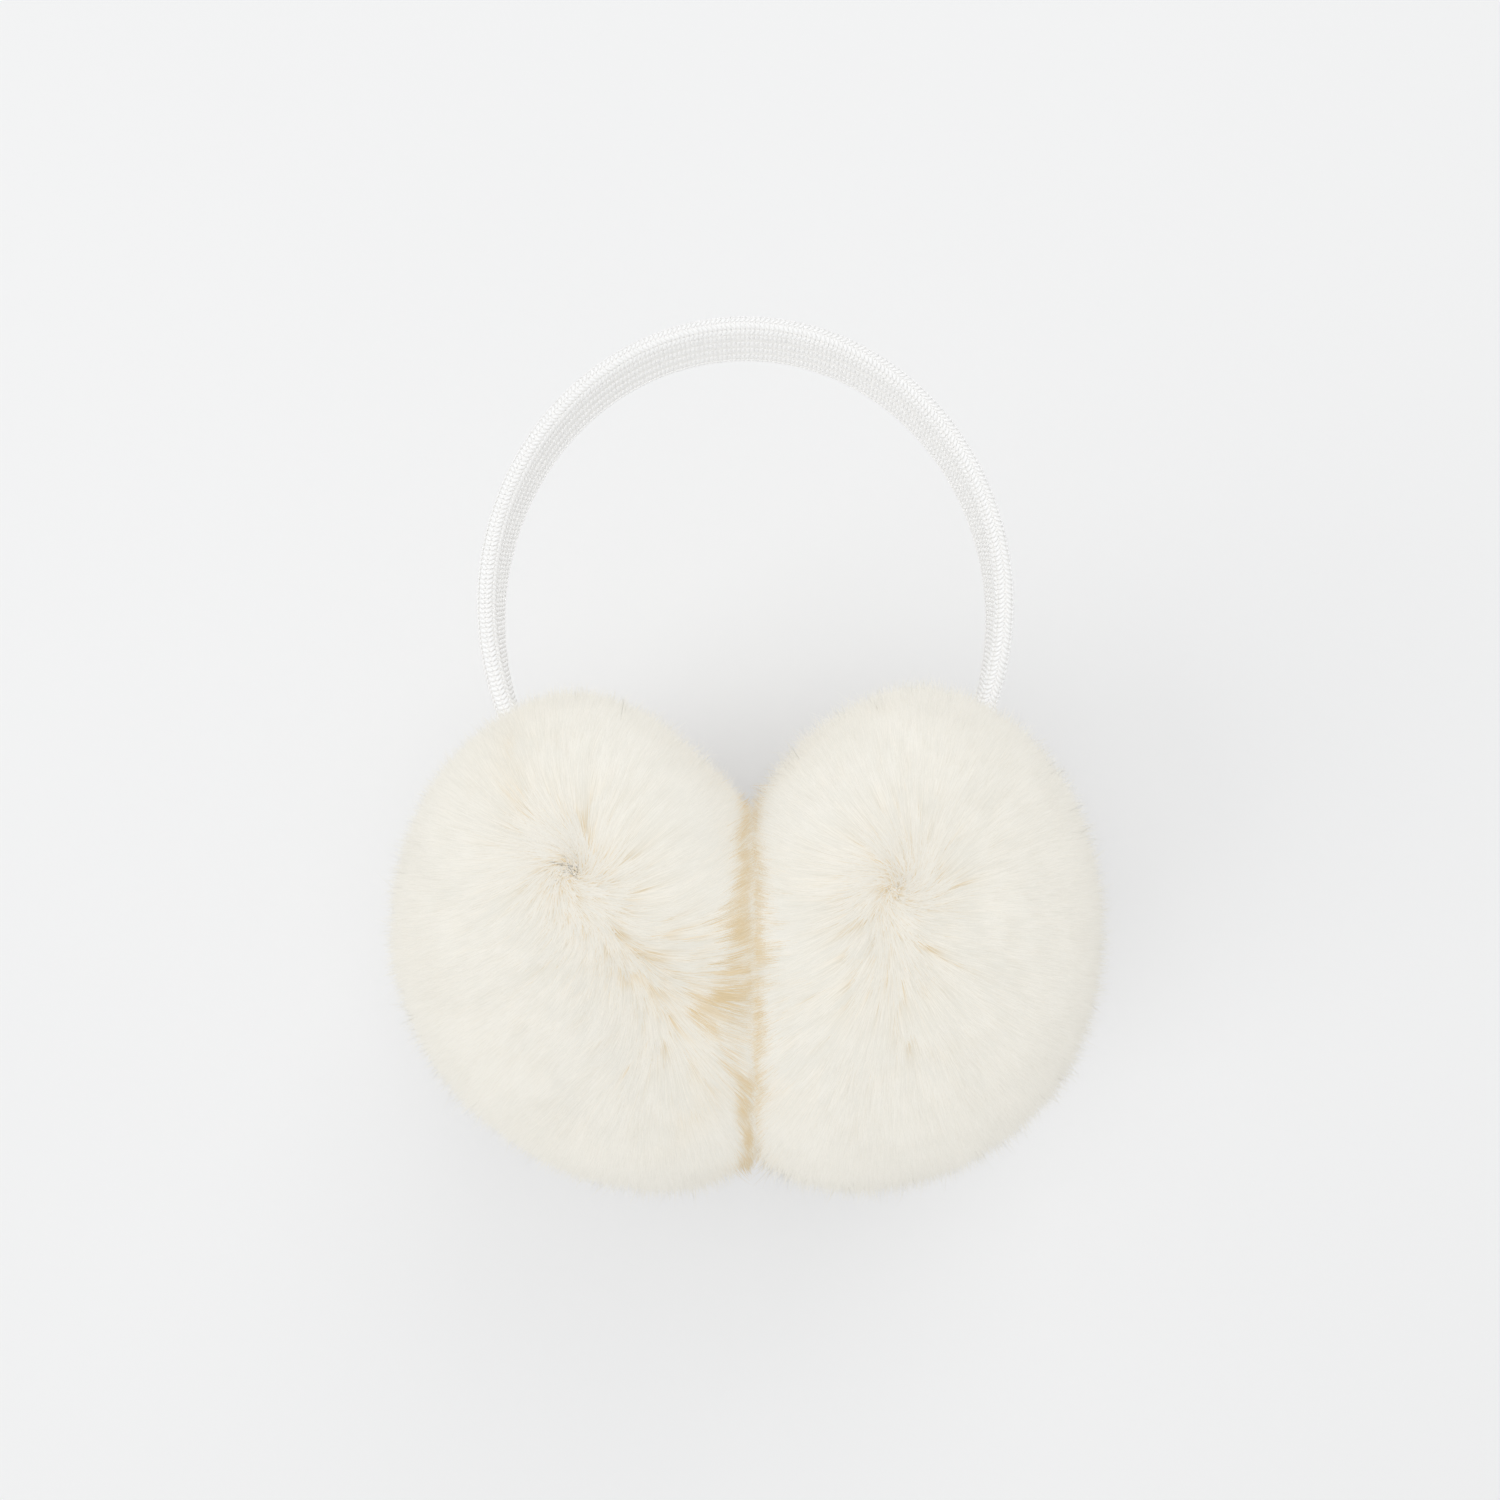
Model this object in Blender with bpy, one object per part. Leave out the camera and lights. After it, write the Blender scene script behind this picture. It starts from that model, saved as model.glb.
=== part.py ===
# Fur earmuffs lying on a table: two deep-pile ear pads on a knitted, spring-curved headband.
# Metres, +Z up, +Y towards the top of the headband. The origin is the bottom centre of the whole.
import math
import random
from collections import namedtuple

import bmesh
import bpy
from mathutils import Matrix, Vector

# Ear pads: round cushions of fur, fuller outside their widest plane than towards the ear
PAD_DIAMETER = 0.1225       # over the fur, at the widest plane
EAR_DEPTH = 0.040           # from the widest plane to the ear side, before it is pressed
OUTER_DEPTH = 0.054         # from the widest plane to the outer side
FUR_DEPTH = 0.0085          # from the surface of the fur down to the backing
LOCK_LENGTH = 0.0110        # from the backing to the tip of a lock
TABLE_PRESS = 0.009         # how much of the round pad the table presses flat
EAR_FACE_GAP = 0.0006       # between the two pads, which press each other flat
LOCKS_ACROSS = 9            # locks across each of the six faces of the cage
WANDER_SHARE = 0.16         # how far a lock's root strays, as a share of its cell
STRAY_SHARE = 0.14          # how far a lock strays from the comb, as a share of its length
SHORTEST_SHARE = 0.90       # shortest and longest lock, as shares of LOCK_LENGTH
LONGEST_SHARE = 1.08
WAIST_SHARE = 0.70          # width of a lock half way up, as a share of its root
PARTED_SHARE = 0.45         # how much shorter the locks are in a crease
STUB_SHARE = 0.25           # a lock shorter than this share is left out
COMB_REACH = 0.040          # the fur lies over fully this far from its parting
LEAN_SHARE = 0.62           # how far it lies over there, against standing upright

# Headband
BAND_WIDTH = 0.1355         # across the widest place, outside
BAND_REACH = 0.1598         # from the pads' axis to the top, outside
ARCH_RISE = 0.0757          # from the widest place to the top, outside
BAND_SHIFT = -0.0012        # the arch sits a little to the left of the seam between the pads
STRAP_WIDTH = 0.020
STRAP_THICKNESS = 0.0053
TAIL_BEND = 0.082           # radius of the bend from the widest place into each tail
TAIL_TURN = math.radians(20)
ATTACH_DROP = 0.010         # the tails meet the pads this far below the pads' axis
TAIL_END = 0.008            # tail past its pin
ARCH_STEPS = 34
BEND_STEPS = 5
TAIL_STEPS = 7
STRAP_ROUND_STEPS = 5       # facets round each edge of the strap

# Hidden pins that hold the pads on the tails
PIN_DIAMETER = 0.006
PIN_LENGTH = 0.022
PIN_SIDES = 16

CLEARANCE = 0.0003          # between each piece and what it fits in

CreasePoint = namedtuple("CreasePoint", "out across")
# Lines in the fur seen from above, as shares of the fur's radius:
# out from the seam, and across it from the pads' axis towards the top of the band.
LEFT_PARTING = (
    CreasePoint(0.98, 0.76),
    CreasePoint(0.75, 0.40),
    CreasePoint(0.58, 0.15),
    CreasePoint(0.28, -0.17),
    CreasePoint(0.03, -0.32),
)
RIGHT_RIM = (
    CreasePoint(0.02, 0.55),
    CreasePoint(0.16, 0.76),
    CreasePoint(0.33, 0.88),
    CreasePoint(0.50, 0.95),
)
RIGHT_STAR = (
    CreasePoint(0.63, 0.16),
    CreasePoint(0.58, 0.08),
)

Pad = namedtuple("Pad", "name side splay inset seed parting crease crease_depth crease_width")
# splay: how far the top of a pad leans away from the seam, in degrees
# inset: from the tail's middle line in to the pad's widest plane, as a share of EAR_DEPTH
# crease_depth, crease_width: of the crease in the backing, as shares of FUR_DEPTH
PADS = (
    Pad("fur_pad_left", -1, 23, 0.325, 11, LEFT_PARTING, LEFT_PARTING, 0.76, 1.0),
    Pad("fur_pad_right", 1, 18, 0.2125, 23, RIGHT_STAR, RIGHT_RIM, 0.47, 0.70),
)

Finish = namedtuple("Finish", "colour roughness metallic")
FUR_FINISH = Finish((0.90, 0.86, 0.78), 0.95, 0.0)
KNIT_FINISH = Finish((0.90, 0.90, 0.88), 0.85, 0.0)
PIN_FINISH = Finish((0.85, 0.85, 0.83), 0.45, 0.0)

PAD_RADIUS = PAD_DIAMETER / 2
AXIS_HEIGHT = PAD_RADIUS - TABLE_PRESS
ATTACH_HEIGHT = AXIS_HEIGHT - ATTACH_DROP
SHARP_ANGLE = math.radians(35)


def remove_scene_objects():
    for old in list(bpy.data.objects):
        bpy.data.objects.remove(old)


def new_collection(name):
    collection = bpy.data.collections.new(name)
    bpy.context.scene.collection.children.link(collection)
    return collection


def new_material(name, finish):
    material = bpy.data.materials.new(name)
    material.use_nodes = True
    shader = material.node_tree.nodes["Principled BSDF"]
    shader.inputs["Base Color"].default_value = (*finish.colour, 1.0)
    shader.inputs["Roughness"].default_value = finish.roughness
    shader.inputs["Metallic"].default_value = finish.metallic
    material.diffuse_color = (*finish.colour, 1.0)
    return material


def new_object(name, data, collection, material=None):
    made = bpy.data.objects.new(name, data)
    collection.objects.link(made)
    if material:
        made.data.materials.append(material)
    return made


def mesh_from(bm, name):
    mesh = bpy.data.meshes.new(name)
    bm.to_mesh(mesh)
    bm.free()
    return mesh


def face_outwards(bm):
    bm.normal_update()
    bmesh.ops.recalc_face_normals(bm, faces=bm.faces)


def smooth_step(share):
    share = min(max(share, 0.0), 1.0)
    return share * share * (3 - 2 * share)


def band_tilt():
    # The strap's lower edge touches the table at the top of the arch.
    length = BAND_REACH - STRAP_THICKNESS / 2
    half_flat = (STRAP_WIDTH - STRAP_THICKNESS) / 2
    rise = ATTACH_HEIGHT - STRAP_THICKNESS / 2
    return math.asin(rise / math.hypot(length, half_flat)) - math.atan2(half_flat, length)


def band_place():
    # From the band's own plane, with the pads' axis at y = 0, to where it lies.
    return Matrix.Translation((BAND_SHIFT, 0.0, ATTACH_HEIGHT)) @ Matrix.Rotation(-band_tilt(), 4, "X")


def bend_point(turn):
    # On the bend from the arch's widest place into the right tail, after this much turn.
    half_width = (BAND_WIDTH - STRAP_THICKNESS) / 2
    widest = BAND_REACH - ARCH_RISE
    return Vector((half_width - TAIL_BEND * (1 - math.cos(turn)), widest - TAIL_BEND * math.sin(turn), 0.0))


def tail_point(height):
    # On the straight run of the right tail, at this height above the pads' axis.
    corner = bend_point(TAIL_TURN)
    return Vector((corner.x - (corner.y - height) * math.tan(TAIL_TURN), height, 0.0))


def band_path(past_end=0.0):
    # Middle line of the strap in its own plane, from the left tail's end to the right's.
    half_width = (BAND_WIDTH - STRAP_THICKNESS) / 2
    rise = ARCH_RISE - STRAP_THICKNESS / 2
    widest = BAND_REACH - ARCH_RISE
    end = tail_point(-(TAIL_END + past_end) * math.cos(TAIL_TURN))
    right = [end.lerp(bend_point(TAIL_TURN), step / TAIL_STEPS) for step in range(TAIL_STEPS)]
    right += [bend_point(TAIL_TURN * (1 - step / BEND_STEPS)) for step in range(BEND_STEPS)]
    arch = []
    for step in range(ARCH_STEPS + 1):
        angle = math.pi * step / ARCH_STEPS
        arch.append(Vector((-half_width * math.cos(angle), widest + rise * math.sin(angle), 0.0)))
    left = [Vector((-point.x, point.y, 0.0)) for point in right]
    return left + arch + right[::-1]


def strap_section(thickness, width):
    # Flat tube on edge: two straight sides and two round edges.
    radius = thickness / 2
    straight = width / 2 - radius
    corners = []
    for centre, start in ((straight, 0.0), (-straight, math.pi)):
        for step in range(STRAP_ROUND_STEPS + 1):
            angle = start + math.pi * step / STRAP_ROUND_STEPS
            corners.append(Vector((radius * math.cos(angle), centre + radius * math.sin(angle), 0.0)))
    return corners


def poly_curve(name, points, cyclic, collection):
    curve = bpy.data.curves.new(name, "CURVE")
    curve.dimensions = "3D"
    curve.twist_mode = "Z_UP"
    spline = curve.splines.new("POLY")
    spline.points.add(len(points) - 1)
    for target, point in zip(spline.points, points):
        target.co = (*point, 1.0)
    spline.use_cyclic_u = cyclic
    return new_object(name, curve, collection)


def strap_mesh(name, grow, collection):
    # The strap swept along its path, grown by a clearance where it is a cutter.
    section = strap_section(STRAP_THICKNESS + 2 * grow, STRAP_WIDTH + 2 * grow)
    profile = poly_curve(name + "_profile", section, True, collection)
    swept = poly_curve(name + "_sweep", band_path(grow), False, collection)
    swept.data.bevel_mode = "OBJECT"
    swept.data.bevel_object = profile
    swept.data.use_fill_caps = True
    bpy.context.view_layer.update()
    evaluated = swept.evaluated_get(bpy.context.evaluated_depsgraph_get())
    mesh = bpy.data.meshes.new_from_object(evaluated)
    mesh.transform(band_place())
    for used in (swept, profile):
        bpy.data.objects.remove(used)
    bm = bmesh.new()
    bm.from_mesh(mesh)
    bmesh.ops.remove_doubles(bm, verts=bm.verts, dist=0.00001)
    face_outwards(bm)
    bm.to_mesh(mesh)
    bm.free()
    mesh.name = name
    mesh.materials.clear()
    return mesh


def pin_mesh(name, side, grow):
    # Plain pin through the flat of the tail, on the pads' axis.
    bm = bmesh.new()
    radius = PIN_DIAMETER / 2 + grow
    bmesh.ops.create_cone(bm, cap_ends=True, segments=PIN_SIDES, radius1=radius, radius2=radius,
                          depth=PIN_LENGTH + 2 * grow)
    onto_x = Matrix.Rotation(math.pi / 2, 4, "Y")
    square_to_tail = Matrix.Rotation(-side * TAIL_TURN, 4, "Z")
    to_tail = Matrix.Translation((side * tail_point(0.0).x, 0.0, 0.0))
    bmesh.ops.transform(bm, matrix=band_place() @ to_tail @ square_to_tail @ onto_x, verts=bm.verts)
    face_outwards(bm)
    return mesh_from(bm, name)


def plan_line(rows):
    return [Vector((row.out * PAD_RADIUS, row.across * PAD_RADIUS)) for row in rows]


def nearest_on_line(point, line):
    nearest = None
    for start, end in zip(line, line[1:]):
        run = end - start
        share = min(max((point - start).dot(run) / run.length_squared, 0.0), 1.0)
        spot = start + run * share
        if nearest is None or (point - spot).length < (point - nearest).length:
            nearest = spot
    return nearest


def crease_nearness(pad, point):
    # 1 on the pad's crease, falling to 0 beside it, on the side that faces up.
    if point.z < AXIS_HEIGHT:
        return 0.0
    here = Vector((abs(point.x), point.y))
    gap = (here - nearest_on_line(here, plan_line(pad.crease))).length
    return math.exp(-(gap / (pad.crease_width * FUR_DEPTH)) ** 2)


def comb(pad, point, normal):
    # The way the fur lies: away from the parting on top, and down the sides.
    spot = nearest_on_line(Vector((abs(point.x), point.y)), plan_line(pad.parting))
    above = math.sqrt(max(PAD_RADIUS ** 2 - spot.y ** 2, 0.0))
    away = point - Vector((pad.side * spot.x, spot.y, AXIS_HEIGHT + above))
    strength = LEAN_SHARE * smooth_step(away.length / COMB_REACH)
    along = away - normal * away.dot(normal)
    return along.normalized() * strength if along.length > 1e-6 else Vector((0.0, 0.0, 0.0))


def pad_frame(pad):
    # Middle of the widest plane, the way out along the pad's axis, and the way up to the band.
    splay = math.radians(pad.splay)
    tail = band_place() @ Vector((pad.side * tail_point(0.0).x, 0.0, 0.0))
    middle = Vector((tail.x - pad.side * pad.inset * EAR_DEPTH, 0.0, AXIS_HEIGHT))
    out = Vector((pad.side * math.cos(splay), -math.sin(splay), 0.0))
    top = Vector((pad.side * math.sin(splay), math.cos(splay), 0.0))
    return middle, out, top


def pad_point(pad, direction, under):
    # From a direction on the unit sphere to the pad's round form, so far under the fur's surface.
    middle, out, top = pad_frame(pad)
    depth = (OUTER_DEPTH if direction.x > 0 else EAR_DEPTH) - under
    radius = PAD_RADIUS - under
    in_plan = out * direction.x * depth + top * direction.y * radius
    return middle + in_plan + Vector((0.0, 0.0, direction.z * radius))


def backing_point(pad, direction):
    # The backing, which swells to the fur's surface where the table or the other pad presses it.
    low = pad_point(pad, direction, FUR_DEPTH)
    high = pad_point(pad, direction, 0.0)
    room = min(high.z, pad.side * high.x - EAR_FACE_GAP / 2)
    point = low.lerp(high, smooth_step(1 - max(room, 0.0) / FUR_DEPTH))
    inward = (pad_frame(pad)[0] - point).normalized()
    point += inward * pad.crease_depth * FUR_DEPTH * crease_nearness(pad, point)
    return keep_clear(pad, point)


def keep_clear(pad, point):
    # On the pad's own side of the seam, and on the table.
    return Vector((pad.side * max(pad.side * point.x, EAR_FACE_GAP / 2), point.y, max(point.z, 0.0)))


def lock_reach(pad, point, aim, length):
    # How far a lock can run before it would meet the table or cross the seam.
    if aim.z < 0:
        length = min(length, point.z / -aim.z)
    towards_seam = -aim.x * pad.side
    if towards_seam > 0:
        length = min(length, (pad.side * point.x - EAR_FACE_GAP / 2) / towards_seam)
    return length


def beside_strap(point, strap_line, across, room):
    # True where a lock rooted here would stand in the strap's way.
    for spot in strap_line:
        offset = point - spot
        height = offset.dot(across)
        beside = (offset - across * height).length
        if abs(height) < STRAP_WIDTH / 2 + room and beside < STRAP_THICKNESS / 2 + room:
            return True
    return False


def grow_locks(bm, pad):
    # Each cell of the backing is drawn out into a tapering lock that bends over with the comb.
    rng = random.Random(pad.seed)
    place = band_place()
    strap_line = [place @ point for point in band_path()]
    strap_across = place.to_3x3() @ Vector((0.0, 0.0, 1.0))
    room = PAD_RADIUS / LOCKS_ACROSS
    locks = []
    for face in bm.faces:
        middle = face.calc_center_median()
        stray = Vector([rng.uniform(-STRAY_SHARE, STRAY_SHARE) for _ in range(3)])
        lean = comb(pad, middle, face.normal) + stray
        length = LOCK_LENGTH * rng.uniform(SHORTEST_SHARE, LONGEST_SHARE)
        length *= 1 - PARTED_SHARE * crease_nearness(pad, middle)
        length = lock_reach(pad, middle, (face.normal + lean).normalized(), length)
        if length > STUB_SHARE * LOCK_LENGTH and not beside_strap(middle, strap_line, strap_across, room):
            locks.append((face, face.normal * length, lean * length))
    drawn = bmesh.ops.extrude_discrete_faces(bm, faces=[lock[0] for lock in locks])["faces"]
    for face, (_, rise, lean) in zip(drawn, locks):
        middle = face.calc_center_median()
        for vert in face.verts:
            vert.co = keep_clear(pad, middle + (vert.co - middle) * WAIST_SHARE + rise * 0.5 + lean * 0.3)
    tips = bmesh.ops.poke(bm, faces=drawn)["verts"]
    for tip, (_, rise, lean) in zip(tips, locks):
        tip.co = keep_clear(pad, tip.co + rise * 0.5 + lean * 0.7)


def pad_mesh(pad):
    rng = random.Random(pad.seed + 1)
    wander = WANDER_SHARE * 2 / LOCKS_ACROSS
    bm = bmesh.new()
    bmesh.ops.create_cube(bm, size=2.0)
    bmesh.ops.subdivide_edges(bm, edges=bm.edges, cuts=LOCKS_ACROSS - 1, use_grid_fill=True)
    for vert in bm.verts:
        # The tangent evens out the cells of the cube when it is blown up to a ball.
        even = Vector([math.tan(side * math.pi / 4) for side in vert.co])
        even += Vector([rng.uniform(-wander, wander) for _ in range(3)])
        vert.co = backing_point(pad, even.normalized())
    face_outwards(bm)
    grow_locks(bm, pad)
    face_outwards(bm)
    return mesh_from(bm, pad.name)


def cut(target, cutter):
    modifier = target.modifiers.new(cutter.name, "BOOLEAN")
    modifier.operation = "DIFFERENCE"
    modifier.solver = "EXACT"
    modifier.object = cutter


def hide_cutter(cutter):
    cutter.hide_render = True
    cutter.display_type = "WIRE"


def centre_on_table(shown, hidden):
    # Puts the origin under the middle of the whole.
    corners = [vert.co for made in shown for vert in made.data.vertices]
    lows = [min(corner[axis] for corner in corners) for axis in range(3)]
    highs = [max(corner[axis] for corner in corners) for axis in range(3)]
    shift = Vector((-(lows[0] + highs[0]) / 2, -(lows[1] + highs[1]) / 2, -lows[2]))
    for made in shown + hidden:
        made.data.transform(Matrix.Translation(shift))


def shade_round(made):
    made.data.shade_smooth()
    made.data.set_sharp_from_angle(angle=SHARP_ANGLE)


def build():
    remove_scene_objects()
    parts = new_collection("fur_earmuffs")
    cutters = new_collection("earmuff_cutters")
    fur = new_material("cream_fur", FUR_FINISH)
    knit = new_material("white_knit", KNIT_FINISH)
    plastic = new_material("pin_plastic", PIN_FINISH)

    band = new_object("headband", strap_mesh("headband", 0.0, cutters), parts, knit)
    strap_room = new_object("strap_room", strap_mesh("strap_room", CLEARANCE, cutters), cutters)
    shown = [band]
    hidden = [strap_room]
    for pad in PADS:
        side = pad.name.rsplit("_", 1)[1]
        puff = new_object(pad.name, pad_mesh(pad), parts, fur)
        pin = new_object("pad_pin_" + side, pin_mesh("pad_pin_" + side, pad.side, 0.0), parts, plastic)
        pin_room = new_object("pin_room_" + side, pin_mesh("pin_room_" + side, pad.side, CLEARANCE), cutters)
        cut(puff, strap_room)
        cut(puff, pin_room)
        cut(band, pin_room)
        shade_round(pin)
        shown += [puff, pin]
        hidden.append(pin_room)
    for cutter in hidden:
        hide_cutter(cutter)
    centre_on_table(shown, hidden)
    shade_round(band)


build()
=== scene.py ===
import math
import bmesh
import bpy
import numpy as np
from mathutils import Matrix, Vector, noise
from mathutils.kdtree import KDTree


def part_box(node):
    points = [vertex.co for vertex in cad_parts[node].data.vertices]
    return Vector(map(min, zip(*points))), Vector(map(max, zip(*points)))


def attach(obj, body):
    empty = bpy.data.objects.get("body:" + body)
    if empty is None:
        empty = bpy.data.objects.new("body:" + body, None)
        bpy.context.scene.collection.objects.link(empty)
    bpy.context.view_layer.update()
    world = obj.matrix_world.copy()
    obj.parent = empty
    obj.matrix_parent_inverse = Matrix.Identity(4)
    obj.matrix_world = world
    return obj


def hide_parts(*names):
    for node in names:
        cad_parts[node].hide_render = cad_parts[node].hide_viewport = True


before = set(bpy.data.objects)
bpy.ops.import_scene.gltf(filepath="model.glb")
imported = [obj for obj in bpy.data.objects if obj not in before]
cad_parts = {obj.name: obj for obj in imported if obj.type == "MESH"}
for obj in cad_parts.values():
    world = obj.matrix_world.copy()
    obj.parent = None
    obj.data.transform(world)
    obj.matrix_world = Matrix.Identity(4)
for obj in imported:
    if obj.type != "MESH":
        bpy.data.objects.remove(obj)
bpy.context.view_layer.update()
print("frame loaded")

# Fur earmuffs lying on a table, seen from straight above. Metres, +Z up, +Y to the top of the band.
# The pins and the pads of the CAD give the places that everything here is built on.
seamX = (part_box("fur_pad_left")[1].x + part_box("fur_pad_right")[0].x) / 2
pinPlace = {side: sum(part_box("pad_pin_" + side), Vector()) / 2 for side in ("left", "right")}
bandOrigin = (pinPlace["left"] + pinPlace["right"]) / 2   # on the pads' axis, half way between the tails


# Small helpers

def addMesh(name, mesh, material):
    made = bpy.data.objects.new(name, mesh)
    bpy.context.scene.collection.objects.link(made)
    mesh.materials.clear()
    mesh.materials.append(material)
    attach(made, "root")
    return made


def meshFromArrays(name, points, loops, loopStarts, loopTotals):
    mesh = bpy.data.meshes.new(name)
    mesh.vertices.add(len(points))
    mesh.vertices.foreach_set("co", np.ascontiguousarray(points, np.float32).ravel())
    mesh.loops.add(len(loops))
    mesh.loops.foreach_set("vertex_index", loops.astype(np.int32))
    mesh.polygons.add(len(loopStarts))
    mesh.polygons.foreach_set("loop_start", loopStarts.astype(np.int32))
    mesh.polygons.foreach_set("use_smooth", np.ones(len(loopStarts), bool))
    mesh.update(calc_edges=True)
    return mesh


def addUv(mesh, name, cornerUv):
    layer = mesh.uv_layers.new(name=name)
    layer.data.foreach_set("uv", np.ascontiguousarray(cornerUv, np.float32).ravel())
    return layer


def letLightThrough(piece):
    # White hair and yarn pass light on; what lies under them does the shading.
    piece.visible_shadow = False
    piece.visible_diffuse = False


def unit(rows):
    return rows / np.maximum(np.linalg.norm(rows, axis=1, keepdims=True), 1e-9)


def smoothStep(share):
    share = np.clip(share, 0.0, 1.0)
    return share * share * (3 - 2 * share)


def newMaterial(name):
    material = bpy.data.materials.new(name)
    material.use_nodes = True
    nodes = material.node_tree.nodes
    return material, nodes, material.node_tree.links, nodes["Principled BSDF"]


def addRamp(nodes, stops, label):
    ramp = nodes.new("ShaderNodeValToRGB")
    ramp.label = label
    elements = ramp.color_ramp.elements
    while len(elements) > 1:
        elements.remove(elements[-1])
    for index, (place, colour) in enumerate(stops):
        element = elements[0] if index == 0 else elements.new(place)
        element.position = place
        element.color = (*colour, 1.0)
    return ramp


def addNoise(nodes, scale, detail, roughness):
    texture = nodes.new("ShaderNodeTexNoise")
    texture.inputs["Scale"].default_value = scale
    texture.inputs["Detail"].default_value = detail
    texture.inputs["Roughness"].default_value = roughness
    return texture


# Camera, floor and light

view = {
    "height": 0.440,            # of the lens above the floor
    "centre": (-0.0011, -0.0021),
    "pixelsPerMetre": 3680.0,   # at the floor, in the photo's 1500 pixels
    "pixels": 1500.0,
}
studio = {
    "floorHalf": 2.5,
    "floorColour": (0.906, 0.908, 0.909),
    "skyColour": (0.99, 0.995, 1.0), "skyStrength": 0.64, "backdropStrength": 0.88,
    "overheadPlace": (-0.04, 0.08, 1.20), "overheadSize": 1.3, "overheadPower": 4.1,
    "keyPlace": (-1.5, -0.7, 1.3), "keySize": 1.2, "keyPower": 5.9,
    "fillPlace": (0.5, 1.5, 1.0), "fillSize": 1.2, "fillPower": 5.0,
}


def makeCamera():
    camera = bpy.data.objects.new("camera", bpy.data.cameras.new("camera"))
    bpy.context.scene.collection.objects.link(camera)
    frameWidth = view["pixels"] / view["pixelsPerMetre"]
    camera.data.sensor_width = 36.0
    camera.data.lens = 36.0 * view["height"] / frameWidth
    camera.data.clip_start = 0.01
    camera.location = (*view["centre"], view["height"])
    bpy.context.scene.camera = camera


def makeFloor():
    bm = bmesh.new()
    bmesh.ops.create_grid(bm, x_segments=8, y_segments=8, size=studio["floorHalf"])
    mesh = bpy.data.meshes.new("table_top")
    bm.to_mesh(mesh)
    bm.free()
    floor = bpy.data.objects.new("table_top", mesh)
    bpy.context.scene.collection.objects.link(floor)
    material, nodes, links, shader = newMaterial("pale_table")
    shader.inputs["Roughness"].default_value = 0.9
    shader.inputs["Specular IOR Level"].default_value = 0.15
    coords = nodes.new("ShaderNodeTexCoord")
    cloud = addNoise(nodes, 3.0, 2.0, 0.5)
    links.new(coords.outputs["Object"], cloud.inputs["Vector"])
    low = tuple(share * 0.985 for share in studio["floorColour"])
    ramp = addRamp(nodes, [(0.3, low), (0.7, studio["floorColour"])], "faint clouds")
    links.new(cloud.outputs["Fac"], ramp.inputs["Fac"])
    links.new(ramp.outputs["Color"], shader.inputs["Base Color"])
    mesh.materials.append(material)


def addAreaLight(name, place, size, power):
    light = bpy.data.lights.new(name, "AREA")
    light.shape = "SQUARE"
    light.size = size
    light.energy = power
    made = bpy.data.objects.new(name, light)
    bpy.context.scene.collection.objects.link(made)
    made.location = place
    made.rotation_mode = "QUATERNION"
    made.rotation_quaternion = (-Vector(place)).to_track_quat("-Z", "Y")
    made.visible_camera = False
    light.cycles.use_multiple_importance_sampling = False   # cleaner on fine hair


def makeStudio():
    makeFloor()
    world = bpy.data.worlds.new("studio")
    bpy.context.scene.world = world
    world.use_nodes = True
    sky = world.node_tree.nodes["Background"]
    sky.inputs["Color"].default_value = (*studio["skyColour"], 1.0)
    rays = world.node_tree.nodes.new("ShaderNodeLightPath")
    shown = world.node_tree.nodes.new("ShaderNodeMath")
    shown.operation = "MULTIPLY_ADD"     # the backdrop itself shows paler than it lights
    world.node_tree.links.new(rays.outputs["Is Camera Ray"], shown.inputs[0])
    shown.inputs[1].default_value = studio["backdropStrength"] - studio["skyStrength"]
    shown.inputs[2].default_value = studio["skyStrength"]
    world.node_tree.links.new(shown.outputs["Value"], sky.inputs["Strength"])
    for name in ("overhead", "key", "fill"):
        addAreaLight(name, studio[name + "Place"], studio[name + "Size"], studio[name + "Power"])
    scene = bpy.context.scene
    scene.view_settings.view_transform = "Standard"
    scene.view_settings.look = "None"
    scene.cycles.max_bounces = 3
    scene.cycles.diffuse_bounces = 3


makeCamera()
makeStudio()
print("camera and studio made")


# Headband

band = {
    "width": 0.1355,          # across the widest place, outside
    "reach": 0.1598,          # from the pads' axis to the top, outside
    "rise": 0.0757,           # from the widest place to the top, outside
    "strapWidth": 0.020, "strapThickness": 0.0053,
    "bend": 0.082, "turn": math.radians(20), "tailEnd": 0.008,
    "yarnDepth": 0.00055,     # the inner sleeve lies this far under the yarn
    "pitch": 0.00127,         # from stitch to stitch along it
    # across each flat face lie rows of plump ribs, and round each rim rows of slanted legs
    "faceRows": 4, "faceLeg": (0.00124, 0.0031, 0.00085), "faceSlant": math.radians(4),
    "rimRows": 4, "rimLeg": (0.00118, 0.0025, 0.00070), "rimSlant": math.radians(35),
    "knitPastEntry": 0.020,   # knit runs on into the fur this far past the pads' edge
    "seed": 5,
}


def bandTilt():
    length = band["reach"] - band["strapThickness"] / 2
    halfFlat = (band["strapWidth"] - band["strapThickness"]) / 2
    rise = bandOrigin.z - band["strapThickness"] / 2
    return math.asin(rise / math.hypot(length, halfFlat)) - math.atan2(halfFlat, length)


bandTurn = np.array(Matrix.Rotation(-bandTilt(), 3, "X"))
strapAcross = bandTurn @ np.array((0.0, 0.0, 1.0))      # across the strap's width


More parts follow.
